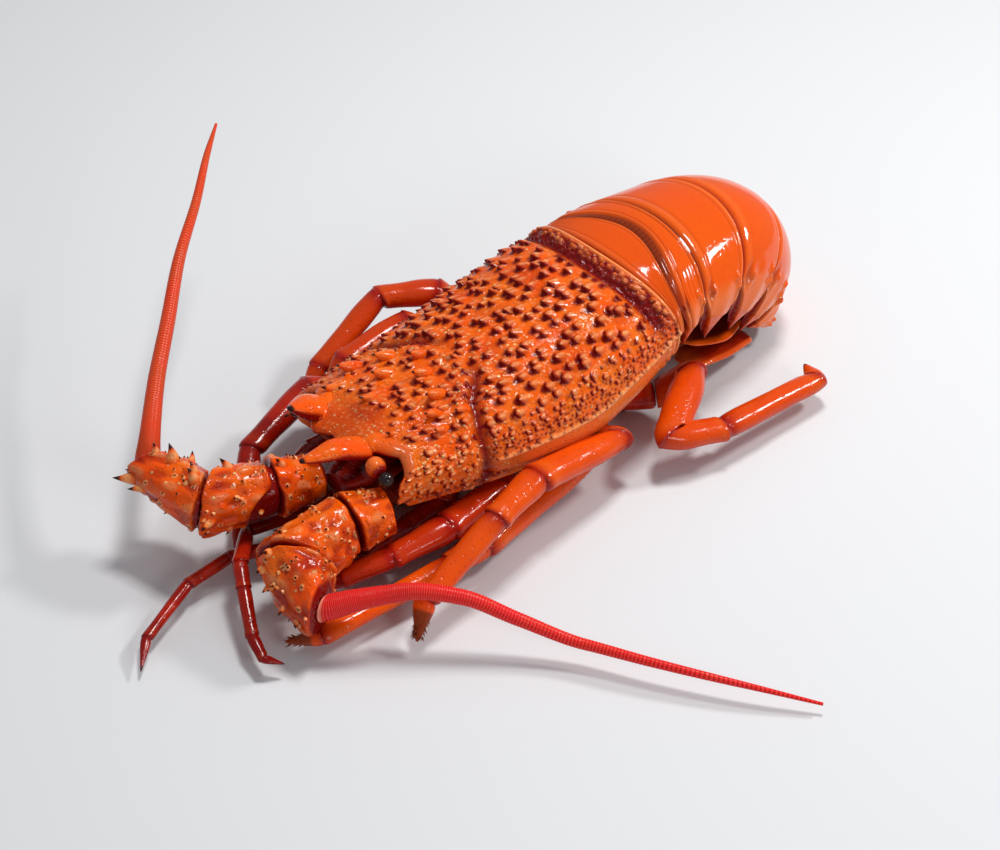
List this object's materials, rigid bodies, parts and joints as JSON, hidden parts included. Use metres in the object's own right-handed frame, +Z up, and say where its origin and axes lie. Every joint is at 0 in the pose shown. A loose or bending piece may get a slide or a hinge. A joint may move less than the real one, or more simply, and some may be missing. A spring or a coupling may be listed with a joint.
{
  "type": "cooked spiny lobster",
  "caption": "Whole cooked spiny lobster lying on its breast, with a thorny back shell, two thick spiny feelers ending in long whips, folded legs and the tail curled under.",
  "frame": {"origin": "on the ground, under the middle of the body, at the middle of the flat of the breast", "axes": "+Z up towards the back; -Y towards the head; +X towards the animal's left side"},
  "size_m": [0.3438, 0.3246, 0.0706],
  "materials": {
    "shell_orange": "wet, glossy cooked shell",
    "tail_orange": "wet, glossy cooked shell",
    "leg_red": "glossy cooked shell",
    "membrane_red": "moist membrane",
    "whip_crimson": "satin, finely ringed",
    "eye_black": "mirror-like wet gloss"
  },
  "bodies": {
    "root": {"carapace": "shell_orange", "breast": "leg_red", "face": "membrane_red", "eyestalk_left": "shell_orange", "eyestalk_right": "shell_orange", "eye_left": "eye_black", "eye_right": "eye_black", "feeler_left_1": "shell_orange", "feeler_left_2": "shell_orange", "feeler_left_3": "shell_orange", "feeler_right_1": "shell_orange", "feeler_right_2": "shell_orange", "feeler_right_3": "shell_orange", "feelerlet_left": "leg_red", "feelerlet_right": "leg_red", "whip_left": "whip_crimson", "whip_right": "whip_crimson", "mouth_leg_left": "leg_red", "mouth_leg_right": "leg_red", "leg_left_1": "leg_red", "leg_left_2": "leg_red", "leg_left_3": "leg_red", "leg_left_4": "leg_red", "leg_left_5": "leg_red", "leg_right_1": "leg_red", "leg_right_2": "leg_red", "leg_right_3": "leg_red", "leg_right_4": "leg_red", "leg_right_5": "leg_red", "tail_1": "tail_orange", "tail_2": "tail_orange", "tail_3": "tail_orange", "tail_4": "tail_orange", "tail_5": "tail_orange", "tail_6": "tail_orange", "telson": "tail_orange", "fan_inner_left": "tail_orange", "fan_inner_right": "tail_orange", "fan_outer_left": "tail_orange", "fan_outer_right": "tail_orange"}
  },
  "joints": []
}
